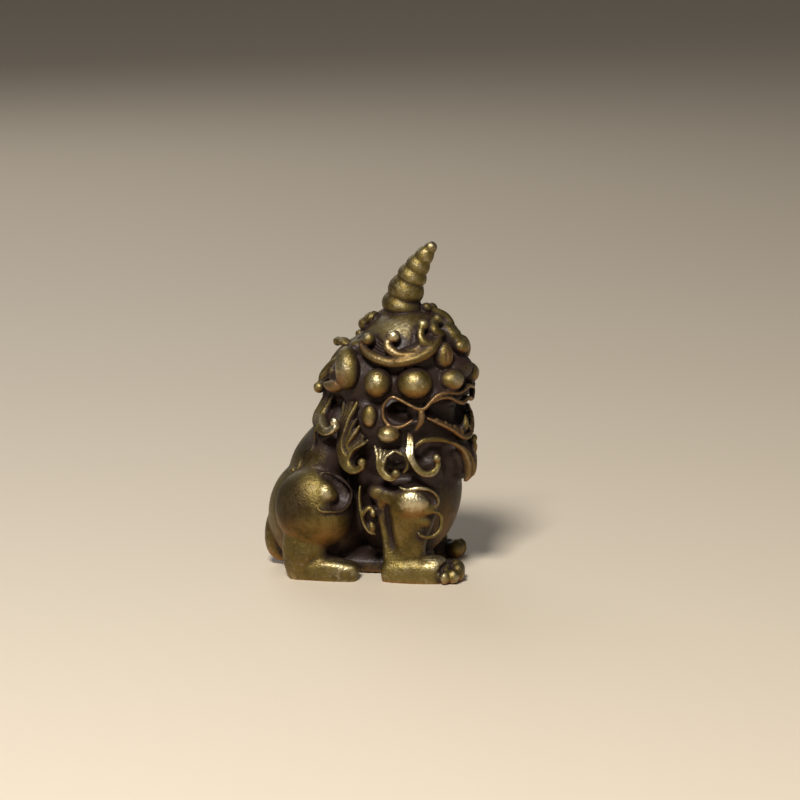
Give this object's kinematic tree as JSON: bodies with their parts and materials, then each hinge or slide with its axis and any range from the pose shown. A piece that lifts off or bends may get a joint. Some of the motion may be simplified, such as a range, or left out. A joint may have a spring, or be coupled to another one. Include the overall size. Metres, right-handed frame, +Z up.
{
  "type": "qilin_figurine",
  "caption": "Small cast brass figurine of a seated qilin with one ringed horn, flame brows, an open mouth and a curled mane, standing by its own weight",
  "frame": {"origin": "middle of the underside, on the ground, below the middle of the bounding box", "axes": "+Z up, +X the way the beast faces, +Y its left side"},
  "size_m": [0.0268, 0.0206, 0.0415],
  "materials": {
    "brass": "antique patina, worn bright on the high points"
  },
  "bodies": {
    "root": {"qilin_figurine": "brass"}
  },
  "joints": []
}
